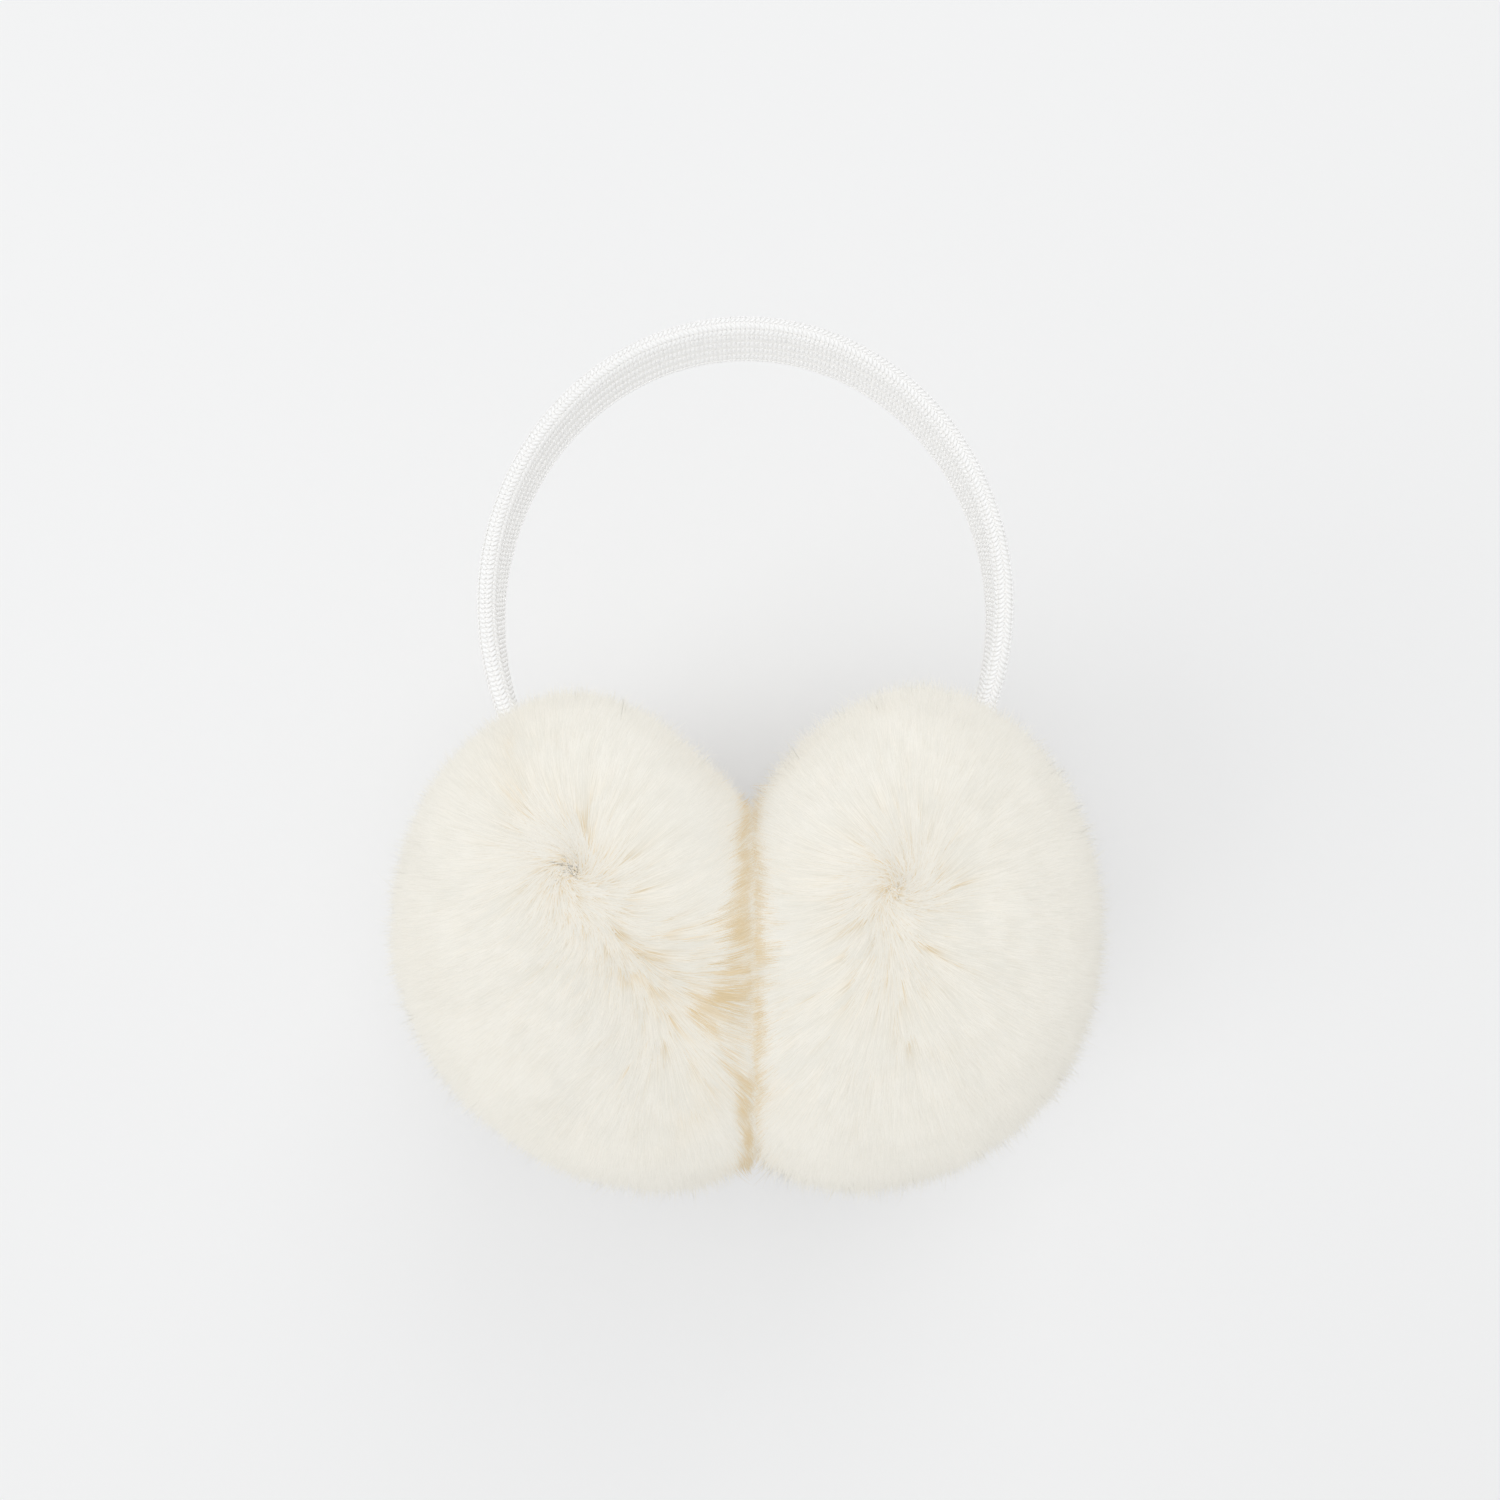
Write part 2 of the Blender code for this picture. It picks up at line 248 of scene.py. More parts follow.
def bandPath(step):
    # Middle line of the strap at even steps, its way along and its way out, from the left tail's end.
    half = (band["width"] - band["strapThickness"]) / 2
    rise = band["rise"] - band["strapThickness"] / 2
    widest = band["reach"] - band["rise"]
    turns = np.linspace(0.0, band["turn"], 40)
    bend = np.stack([half - band["bend"] * (1 - np.cos(turns)), widest - band["bend"] * np.sin(turns)], 1)
    corner = bend[-1]
    endY = -band["tailEnd"] * math.cos(band["turn"])
    end = np.array((corner[0] - (corner[1] - endY) * math.tan(band["turn"]), endY))
    angles = np.linspace(0.0, math.pi, 400)
    arch = np.stack([half * np.cos(angles), widest + rise * np.sin(angles)], 1)
    right = np.concatenate([end[None], bend[::-1]])
    left = right * (-1, 1)
    line = np.concatenate([left, arch[::-1][1:-1], right[::-1]])
    gaps = np.linalg.norm(np.diff(line, axis=0), axis=1)
    run = np.concatenate([[0.0], np.cumsum(gaps)])
    places = np.linspace(0.0, run[-1], int(round(run[-1] / step)) + 1)
    flat = np.stack([np.interp(places, run, line[:, axis]) for axis in (0, 1)], 1)
    along = np.gradient(flat, axis=0)
    along = along / np.linalg.norm(along, axis=1, keepdims=True)
    outward = np.stack([-along[:, 1], along[:, 0]], 1)
    noRise = np.zeros((len(flat), 1))
    lift = [np.concatenate([rows, noRise], 1) @ bandTurn.T for rows in (flat, along, outward)]
    return lift[0] + np.array(bandOrigin), lift[1], lift[2], places


def strapSection(grow, share):
    # Point on the strap's rim at shares of the way round it: out, across, and the rim's own way out.
    radius = band["strapThickness"] / 2 + grow
    straight = band["strapWidth"] - band["strapThickness"]
    nominal = band["strapThickness"] / 2
    around = 2 * straight + 2 * math.pi * nominal
    run = (share % 1.0) * around
    if run < straight:
        return (radius, run - straight / 2), (1.0, 0.0)
    run -= straight
    if run < math.pi * nominal:
        angle = run / nominal
        way = (math.cos(angle), math.sin(angle))
        return (radius * way[0], straight / 2 + radius * way[1]), way
    run -= math.pi * nominal
    if run < straight:
        return (-radius, straight / 2 - run), (-1.0, 0.0)
    angle = math.pi + (run - straight) / nominal
    way = (math.cos(angle), math.sin(angle))
    return (radius * way[0], -straight / 2 + radius * way[1]), way


def sweptStrap(name, grow, sides, step):
    # A closed tube on edge, drawn out along the band's middle line.
    middles, _, outward, _ = bandPath(step)
    bm = bmesh.new()
    ring = bmesh.ops.create_circle(bm, segments=sides, radius=1.0)["verts"]
    sections = [strapSection(grow, (index + 0.5) / sides)[0] for index in range(sides)]

    def lay(verts, spot):
        for vert, (out, across) in zip(verts, sections):
            vert.co = middles[spot] + outward[spot] * out + strapAcross * across

    lay(ring, 0)
    edges = list(bm.edges)
    for spot in range(1, len(middles)):
        drawn = bmesh.ops.extrude_edge_only(bm, edges=edges)["geom"]
        ring = [item for item in drawn if isinstance(item, bmesh.types.BMVert)]
        edges = [item for item in drawn if isinstance(item, bmesh.types.BMEdge)]
        lay(ring, spot)
    bmesh.ops.holes_fill(bm, edges=[edge for edge in bm.edges if edge.is_boundary], sides=0)
    bm.normal_update()
    bmesh.ops.recalc_face_normals(bm, faces=bm.faces)
    mesh = bpy.data.meshes.new(name)
    bm.to_mesh(mesh)
    bm.free()
    return mesh


def knitMaterial():
    material, nodes, links, shader = newMaterial("white_knit")
    shader.inputs["Roughness"].default_value = 0.9
    shader.inputs["Specular IOR Level"].default_value = 0.2
    uv = nodes.new("ShaderNodeUVMap")
    uv.uv_map = "yarn"
    parts = nodes.new("ShaderNodeSeparateXYZ")
    links.new(uv.outputs["UV"], parts.inputs["Vector"])
    legTones = [(0.0, (0.97, 0.967, 0.958)), (0.5, (0.99, 0.989, 0.983)), (1.0, (1.0, 1.0, 0.998))]
    tone = addRamp(nodes, legTones, "leg to leg")
    links.new(parts.outputs["X"], tone.inputs["Fac"])
    # Painted shade: each leg is coloured darker low down, where it sinks between its neighbours.
    depth = addRamp(nodes, [(0.35, (0.968, 0.96, 0.945)), (0.75, (1, 1, 1))], "darker down between the legs")
    links.new(parts.outputs["Y"], depth.inputs["Fac"])
    mix = nodes.new("ShaderNodeMix")
    mix.data_type = "RGBA"
    mix.blend_type = "MULTIPLY"
    mix.inputs["Factor"].default_value = 1.0
    links.new(tone.outputs["Color"], mix.inputs["A"])
    links.new(depth.outputs["Color"], mix.inputs["B"])
    links.new(mix.outputs["Result"], shader.inputs["Base Color"])
    return material


def sleeveMaterial():
    material, nodes, links, shader = newMaterial("knit_backing")
    shader.inputs["Roughness"].default_value = 0.95
    coords = nodes.new("ShaderNodeTexCoord")
    speckle = addNoise(nodes, 900.0, 3.0, 0.6)
    links.new(coords.outputs["Object"], speckle.inputs["Vector"])
    ramp = addRamp(nodes, [(0.3, (0.962, 0.953, 0.935)), (0.7, (0.978, 0.972, 0.958))], "yarn in shade")
    links.new(speckle.outputs["Fac"], ramp.inputs["Fac"])
    links.new(ramp.outputs["Color"], shader.inputs["Base Color"])
    return material


def stitchRows():
    # Every row's place round the strap, the size of its legs and how far they slant.
    straight = band["strapWidth"] - band["strapThickness"]
    halfRound = math.pi * band["strapThickness"] / 2
    around = 2 * (straight + halfRound)
    rows = []
    for begin in (0.0, straight + halfRound):
        for index in range(band["faceRows"]):
            place = begin + straight * (index + 0.5) / band["faceRows"]
            rows.append((place / around, band["faceLeg"], band["faceSlant"] * (1 if index % 2 else -1)))
        for index in range(band["rimRows"]):
            place = begin + straight + halfRound * (index + 0.5) / band["rimRows"]
            rows.append((place / around, band["rimLeg"], band["rimSlant"] * (1 if index % 2 else -1)))
    return rows


def stitchLegs():
    # Every leg of every stitch is a small closed bead that lies across the strap.
    rng = np.random.default_rng(band["seed"])
    middles, along, outward, _ = bandPath(band["pitch"])
    entry = bandOrigin.y + padSize["diameter"] / 2 - band["knitPastEntry"]
    seen = np.flatnonzero(middles[:, 1] > entry)
    lobes = 6
    angles = np.arange(lobes) / lobes * 2 * math.pi
    shape = [(-1.0, 0.0, 0.0)]
    for place, girth in ((-0.45, 0.86), (0.45, 0.86)):
        shape += [(place, girth * math.cos(angle), girth * math.sin(angle)) for angle in angles]
    shape = np.array(shape + [(1.0, 0.0, 0.0)])
    last = len(shape) - 1
    faces = []
    for index in range(lobes):
        after = (index + 1) % lobes
        faces.append((0, 1 + after, 1 + index))
        faces.append((1 + index, 1 + after, 1 + lobes + after, 1 + lobes + index))
        faces.append((1 + lobes + index, 1 + lobes + after, last))
    corners = np.concatenate([np.array(face) for face in faces])
    totals = np.array([len(face) for face in faces])
    points, uvs = [], []
    for share, (width, length, height), slant in stitchRows():
        (out, across), way = strapSection(-band["yarnDepth"] * 0.72, share)
        normal = outward[seen] * way[0] + strapAcross * way[1]
        sideways = np.cross(normal, along[seen])
        centre = middles[seen] + outward[seen] * out + strapAcross * across
        centre = centre + along[seen] * rng.normal(0.0, 0.00002, (len(seen), 1))
        turned = slant + rng.normal(0.0, 0.03, (len(seen), 1))
        runWay = sideways * np.cos(turned) + along[seen] * np.sin(turned)
        crossWay = along[seen] * np.cos(turned) - sideways * np.sin(turned)
        swell = 1 + rng.normal(0.0, 0.015, (len(seen), 1, 1))
        legs = centre[:, None] + swell * (
            runWay[:, None] * shape[None, :, 0:1] * length / 2
            - crossWay[:, None] * shape[None, :, 1:2] * width / 2
            + normal[:, None] * shape[None, :, 2:3] * height / 2
        )
        tones = np.clip(rng.normal(0.6, 0.10, len(seen)), 0.05, 0.95)
        points.append(legs.reshape(-1, 3))
        shades = tones[:, None] + shape[None, :, 1] * 0.01
        # The second coordinate is the height across each leg, which the yarn material paints darker low down
        # as shade.
        uv = np.stack([shades, np.tile((shape[:, 2] + 1) / 2, (len(seen), 1))], 2)
        uvs.append(uv.reshape(-1, 2))
    points, uvs = np.concatenate(points), np.concatenate(uvs)
    count = len(points) // len(shape)
    loops = (np.arange(count)[:, None] * len(shape) + corners[None]).ravel()
    sizes = np.tile(totals, count)
    mesh = meshFromArrays("knit_stitches", points, loops, np.cumsum(sizes) - sizes, sizes)
    for name in ("yarn", "OFBake"):
        addUv(mesh, name, uvs[loops])
    return mesh


# The two pads' own form

padSize = {
    "diameter": 0.1225, "earDepth": 0.040,
    "pinDrop": 0.010,          # the pins sit this far below the pads' axis
    "rootDepth": 0.0092,       # from the fur's surface down to the skin that it grows from
    "seamCross": 0.0030,       # hairs reach at most this far over the seam
    "skinGap": 0.0011,         # and the skin stays this far on its own side
    "seamWave": 0.0007,        # how far the seam wanders to and fro
    "seamSink": 0.12,          # how much shorter the fur is towards the seam
    "seamSinkWidth": 0.0075,
    "tableGap": 0.00015,
    "skinLift": 0.0020,
}
# Lines on the pads as seen from above: out from the seam, and across from the pads' axis.
# A trim takes a share off the pad's reach towards an angle on the table, over so many degrees.
# Along each parting and crease the fur's colour is also darkened as painted shade, by the share given there.
furPads = {
    "left": {
        "side": -1, "splay": 23, "inset": 0.0130, "outerDepth": 0.0555, "seed": 11,
        "trims": [{"towards": 75, "by": 0.075, "over": 18}, {"towards": -112, "by": 0.050, "over": 38}],
        "parting": {"line": [(0.0557, 0.0475), (0.0533, 0.0394), (0.0496, 0.0335), (0.0450, 0.0290),
                             (0.0395, 0.0240), (0.0345, 0.0165), (0.0290, 0.0085), (0.0205, 0.0005),
                             (0.0130, -0.0080), (0.0095, -0.0170)],
                    "heart": (0.0395, 0.0240), "share": 0.10, "comb": (-50, 0.85), "lean": 1.50, "away": 40,
                    "back": 0.55, "reach": 0.009, "fade": 0.050, "deep": 0.22, "upwards": 0.55},
        "creases": [
            {"line": [(0.0557, 0.0475), (0.0533, 0.0394), (0.0496, 0.0340), (0.0475, 0.0318)],
             "depth": 0.0020, "width": 0.0026, "short": 0.24, "deep": 0.30, "over": 0.30},
            {"line": [(0.0280, 0.0056), (0.0213, 0.0006), (0.0123, -0.0080), (0.0080, -0.0177),
                      (0.0110, -0.0290), (0.0170, -0.0400)],
             "depth": 0.0018, "width": 0.0042, "short": 0.14, "deep": 0.30, "over": 0.25},
        ],
        "tufts": [{"at": (0.0045, -0.0185), "reach": 0.0040, "longer": 0.16, "whiter": 0.55},
                  {"at": (0.0412, 0.0252), "reach": 0.0028, "longer": 0.12, "whiter": 0.55}],
    },
    "right": {
        "side": 1, "splay": 18, "inset": 0.0085, "outerDepth": 0.0515, "seed": 23,
        "trims": [{"towards": -92, "by": 0.032, "over": 20}, {"towards": -32, "by": -0.030, "over": 24}],
        "parting": {"line": [(0.0310, 0.0190), (0.0290, 0.0120), (0.0300, 0.0010)],
                    "heart": (0.0310, 0.0190), "share": 0.25, "comb": (-90, 0.70), "lean": 1.15, "away": 150,
                    "back": 0.65, "reach": 0.009, "fade": 0.045, "deep": 0.12, "upwards": 0.15},
        "creases": [
            {"line": [(0.0020, 0.0370), (0.0060, 0.0420), (0.0145, 0.0500), (0.0215, 0.0545),
                      (0.0320, 0.0560)],
             "depth": 0.0034, "width": 0.0032, "short": 0.30, "deep": 0.35, "over": 0.5},
        ],
        "tufts": [{"at": (0.0095, 0.0300), "reach": 0.0090, "longer": 0.06, "whiter": 0.30}],
    },
}


def sideName(pad):
    return "left" if pad["side"] < 0 else "right"


def padFrame(pad):
    # Middle of the widest plane, and the ways out along the pad's axis, towards the band, and up.
    splay = math.radians(pad["splay"])
    pin = pinPlace[sideName(pad)]
    middle = np.array((pin.x - pad["side"] * pad["inset"], pin.y, pin.z + padSize["pinDrop"]))
    out = np.array((pad["side"] * math.cos(splay), -math.sin(splay), 0.0))
    top = np.array((pad["side"] * math.sin(splay), math.cos(splay), 0.0))
    return middle, np.stack([out, top, (0.0, 0.0, 1.0)])


def padSurface(pad, ways, under):
    # Points so far under the fur's surface, and the surface's way out there.
    middle, axes = padFrame(pad)
    radius = padSize["diameter"] / 2 - under
    depth = np.where(ways[:, 0] > 0, pad["outerDepth"], padSize["earDepth"]) - under
    sizes = np.stack([depth, np.full_like(depth, radius), np.full_like(depth, radius)], 1)
    offset = (ways * sizes) @ axes
    angle = np.degrees(np.arctan2(offset[:, 1], offset[:, 0]))
    share = np.ones(len(angle))
    for trim in pad["trims"]:
        share -= trim["by"] * np.exp(-((((angle - trim["towards"] + 180) % 360 - 180) / trim["over"]) ** 2))
    offset[:, :2] *= share[:, None]
    return middle + offset, unit((ways / sizes) @ axes)


def seamAt(points):
    # The seam wanders a little, the same for both pads, so that their fur interlocks.
    wave = (np.sin(points[:, 1] * 420 + 1.3) * 0.5 + np.sin(points[:, 1] * 1130 + points[:, 2] * 300) * 0.3
            + np.sin(points[:, 2] * 510 + 0.4) * 0.4)
    return seamX + padSize["seamWave"] * wave


def planOf(pad, points):
    # Out from the seam and across from the pads' axis, as seen from above.
    return np.stack([pad["side"] * (points[:, 0] - seamX), points[:, 1] - bandOrigin.y], 1)


def nearestOnLine(plan, line):
    best = np.full(len(plan), 1e9)
    spot = np.zeros((len(plan), 2))
    line = np.array(line)
    for start, end in zip(line, line[1:]):
        run = end - start
        share = np.clip(((plan - start) @ run) / (run @ run), 0.0, 1.0)
        near = start + share[:, None] * run
        gap = np.linalg.norm(plan - near, axis=1)
        spot = np.where((gap < best)[:, None], near, spot)
        best = np.minimum(best, gap)
    return spot, best


def creaseShare(pad, points, crease):
    plan = planOf(pad, points)
    spot, gap = nearestOnLine(plan, crease["line"])
    above = smoothStep((points[:, 2] - 0.055) / 0.02)
    return np.exp(-((gap / crease["width"]) ** 2)) * above, spot, gap


def skinPoints(pad, ways):
    # The skin that the fur grows from: round, sunk along each crease, and clear of the seam and table.
    points, normals = padSurface(pad, ways, padSize["rootDepth"])
    middle, _ = padFrame(pad)
    for crease in pad["creases"]:
        share, _, _ = creaseShare(pad, points, crease)
        points = points - normals * (share * crease["depth"])[:, None]
    side = pad["side"]
    points[:, 0] = seamX + side * np.maximum(side * (points[:, 0] - seamX), padSize["skinGap"])
    points[:, 2] = np.maximum(points[:, 2], padSize["skinLift"])
    return points, normals


def skinMaterial():
    material, nodes, links, shader = newMaterial("under_fur")
    shader.inputs["Roughness"].default_value = 1.0
    shader.inputs["Specular IOR Level"].default_value = 0.1
    coords = nodes.new("ShaderNodeTexCoord")
    fine = addNoise(nodes, 1400.0, 4.0, 0.7)
    broad = addNoise(nodes, 60.0, 3.0, 0.5)
    links.new(coords.outputs["Object"], fine.inputs["Vector"])
    links.new(coords.outputs["Object"], broad.inputs["Vector"])
    mix = nodes.new("ShaderNodeMath")
    mix.operation = "MULTIPLY_ADD"
    links.new(fine.outputs["Fac"], mix.inputs[0])
    mix.inputs[1].default_value = 0.5
    links.new(broad.outputs["Fac"], mix.inputs[2])
    # The skin's peach is partly the undercoat's own colour and partly painted shade of the pile low down.
    ramp = addRamp(nodes, [(0.45, (0.93, 0.875, 0.79)), (1.0, (0.97, 0.935, 0.88))], "deep peach")
    links.new(mix.outputs["Value"], ramp.inputs["Fac"])
    links.new(ramp.outputs["Color"], shader.inputs["Base Color"])
    bump = nodes.new("ShaderNodeBump")
    bump.inputs["Distance"].default_value = 0.0006
    links.new(fine.outputs["Fac"], bump.inputs["Height"])
    links.new(bump.outputs["Normal"], shader.inputs["Normal"])
    return material


def makeCore(name, pad, strapRoom):
    bm = bmesh.new()
    bmesh.ops.create_icosphere(bm, subdivisions=5, radius=1.0)
    ways = unit(np.array([vert.co for vert in bm.verts]))
    points, _ = skinPoints(pad, ways)
    for vert, point in zip(bm.verts, points):
        vert.co = point
    bm.normal_update()
    bmesh.ops.recalc_face_normals(bm, faces=bm.faces)
    mesh = bpy.data.meshes.new(name)
    bm.to_mesh(mesh)
    bm.free()
    core = addMesh(name, mesh, skinMaterialMade)
    cut = core.modifiers.new("strap_room", "BOOLEAN")
    cut.operation = "DIFFERENCE"
    cut.solver = "EXACT"
    cut.object = strapRoom
    bpy.context.view_layer.update()
    evaluated = core.evaluated_get(bpy.context.evaluated_depsgraph_get())
    cutMesh = bpy.data.meshes.new_from_object(evaluated)
    core.modifiers.clear()
    core.data = cutMesh
    cutMesh.name = name
    cutMesh.materials.clear()
    cutMesh.materials.append(skinMaterialMade)
    cutMesh.shade_smooth()
    return core


# The fur itself

fur = {
    "strands": 190000,        # in each of the two pieces of a pad
    "area": 0.030,            # of the fur that shows on one pad, in square metres
    "length": 0.0090,         # from the skin to the tip of a hair that stands up
    "width": 0.00030,         # at the root
    "clumpGap": 0.0015,       # between the middles of clumps
    "lockGap": 0.0060,        # and of the looser locks that they lie in
    "clumpPull": 0.16,        # how far the tips of a clump draw together
    "fanPull": 0.22,          # more where the fur is swept
    "lockPull": 0.14,
    "stray": 0.11,            # how far a hair strays from its clump
    "fluff": 0.16, "rimFluff": 0.32,   # how much more where the fur isn't swept, and at the rim
    "clumpStray": 0.13,
    "uneven": 0.13,           # how much shorter than its clump a hair may be
    "longHairs": 0.04, "rimHairs": 0.20,   # share that stands out of the pile, and how much more at the rim
    "longest": (1.04, 1.12), "rimLonger": 0.36,
    "creaseAside": 0.45, "asideWidth": 2.2,   # beside a crease the hair leans away, or over it
    "padMiddle": (0.03, 0.0),
    "swirl": 0.44,            # slow turns in the pile
    "slowSwell": 0.10,        # and slow changes in its length
    "lockUneven": 0.040, "clumpUneven": 0.050,
    "lockTone": 0.07, "clumpTone": 0.14, "toneLimit": 0.4,
    "hairTone": 0.24,         # how far a hair's tone strays from its clump's
    "sweptTone": 0.32, "whiterTone": 0.45,    # swept fur is darker and the tufts are whiter
    "spin": 0.45,             # how far the hairs turn about their own length
    "spread": 0.8,            # how far what meets the other pad or the table spreads along it
    # how far a hair is lit as the pile is, as itself, and as if it all faced up
    "softNormal": 0.50, "ownNormal": 0.38, "upNormal": 0.26,
}


# Painted shade in the hollows of the fur: the hairs' colour is held back towards their roots' darker peach,
# by a share that fades over a reach.
paintedFurShade = {
    "seam": 1.05, "seamReach": 0.0016,
    "beside": 0.32, "besideReach": 0.0095,    # in patches beside the seam
    "patchWaves": 260, "patchShift": 2.0, "patchTone": 2.2,
    "partingReach": 0.011, "slow": 0.10,
    "clumpShare": 0.8, "clumpTone": 1.6,
}


def evenWays(count, rng):
    index = np.arange(count) + 0.5
    up = 1 - 2 * index / count
    turn = index * math.pi * (1 + 5 ** 0.5)
    flat = np.sqrt(1 - up * up)
    ways = np.stack([up, flat * np.cos(turn), flat * np.sin(turn)], 1)
    return unit(ways + rng.normal(0.0, 0.9 / math.sqrt(count), ways.shape))


def rootWays(pad, count, rng):
    # Ways out of the pad, as many per area everywhere, left out where the other pad or the table hides them.
    ways = evenWays(int(count * 2.1), rng)
    points, _ = padSurface(pad, ways, 0.0)
    depth = np.where(ways[:, 0] > 0, pad["outerDepth"], padSize["earDepth"])
    radius = padSize["diameter"] / 2
    area = depth * radius * radius * np.linalg.norm(
        ways / np.stack([depth, np.full_like(depth, radius), np.full_like(depth, radius)], 1), axis=1)
    hidden = (pad["side"] * (points[:, 0] - seamX) < -0.0090) | (points[:, 2] < -0.0040)
    keep = (~hidden) & (rng.random(len(ways)) < area / area.max())
    kept = ways[keep]
    print("roots to choose from", len(kept))
    return kept[np.sort(rng.permutation(len(kept))[:count])]


def slowNoise(points, scale, seed):
    # A smooth random vector field, seeded because Blender's own seed is the clock's.
    noise.seed_set(seed)
    shift = Vector((seed * 1.7, seed * 3.1, seed * 0.9))
    return np.array([noise.noise_vector(Vector(point) * scale + shift) for point in points])


def nearestIndex(points, centres):
    tree = KDTree(len(centres))
    for index, centre in enumerate(centres):
        tree.insert(centre, index)
    tree.balance()
    return np.array([tree.find(point)[1] for point in points])


combing = {
    "lineDrop": 0.004,          # the partings lie this far under the pads' tops
    "turnUp": 0.022,            # beyond its heart the fur turns upwards over this far
    "heartWider": 1.2, "heartReach": 0.011,   # round its heart the fur lies over only further out
    "sideContrast": 0.9,        # between the side that it is swept to and the other
    "rimLean": 0.12, "leanByHeight": 1.25,    # at the pad's rim the hair stands out
    "farLean": 0.45,            # share of the lean that is left far from the parting
    "alongWidth": 0.011,        # on the parting itself the hair is combed along it
    "alongStart": 0.2, "alongFade": 0.012,    # but only below its heart
    "alongSwept": 0.6,
    "whorl": 0.85, "whorlReach": 0.010, "whorlRadius": 0.006,
}


def combWays(pad, points, normals):
    # The way the fur lies over, and how much it is swept there.
    topHeight = padFrame(pad)[0][2] + padSize["diameter"] / 2
    parting = pad["parting"]
    spot, _ = nearestOnLine(planOf(pad, points), parting["line"])

    def awayFrom(place):
        place = np.broadcast_to(place, (len(points), 2))
        return points - np.stack([seamX + pad["side"] * place[:, 0], bandOrigin.y + place[:, 1],
                                  np.full(len(points), topHeight - combing["lineDrop"])], 1)

    away = awayFrom(spot)
    gap = np.linalg.norm(away, axis=1)
    away = unit(away) * (1 - parting["share"]) + unit(awayFrom(np.array(parting["heart"]))) * parting["share"]
    beyond = smoothStep((points[:, 1] - bandOrigin.y - parting["heart"][1]) / combing["turnUp"])
    away[:, 1] += parting["upwards"] * beyond
    flat = away - normals * np.sum(away * normals, axis=1, keepdims=True)
    fromHeart = (planOf(pad, points) - parting["heart"]) * (pad["side"], 1)
    heartGap = np.linalg.norm(fromHeart, axis=1)
    wider = 1 + combing["heartWider"] * np.exp(-((heartGap / combing["heartReach"]) ** 2))
    rise = smoothStep(gap / (parting["reach"] * wider))
    fall = np.exp(-((np.maximum(gap - parting["reach"], 0) / parting["fade"]) ** 2))
    facing = math.radians(parting["away"])
    towards = unit(away[:, :2]) @ np.array((math.cos(facing), math.sin(facing)))
    strength = parting["back"] + (1 - parting["back"]) * smoothStep(0.5 + towards * combing["sideContrast"])
    upright = np.clip(combing["rimLean"] + combing["leanByHeight"] * normals[:, 2], combing["rimLean"], 1.0)
    fading = combing["farLean"] + (1 - combing["farLean"]) * fall
    lean = unit(flat) * (parting["lean"] * rise * fading * strength * upright)[:, None]
    # On the parting itself the hair is combed along it, and round the whorl at its top.
    angle, much = parting["comb"]
    below = smoothStep(combing["alongStart"] - fromHeart[:, 1] / combing["alongFade"])
    over = much * np.exp(-((gap / combing["alongWidth"]) ** 2)) * upright * below
    lean += over[:, None] * np.array((math.cos(math.radians(angle)), math.sin(math.radians(angle)), 0.0))
    whorl = combing["whorl"] * np.exp(-((heartGap / combing["whorlReach"]) ** 2)) / combing["whorlRadius"]
    lean[:, 0] -= fromHeart[:, 1] * whorl
    lean[:, 1] += fromHeart[:, 0] * whorl
    return lean, np.clip(fall * strength * rise + over * combing["alongSwept"], 0, 1)


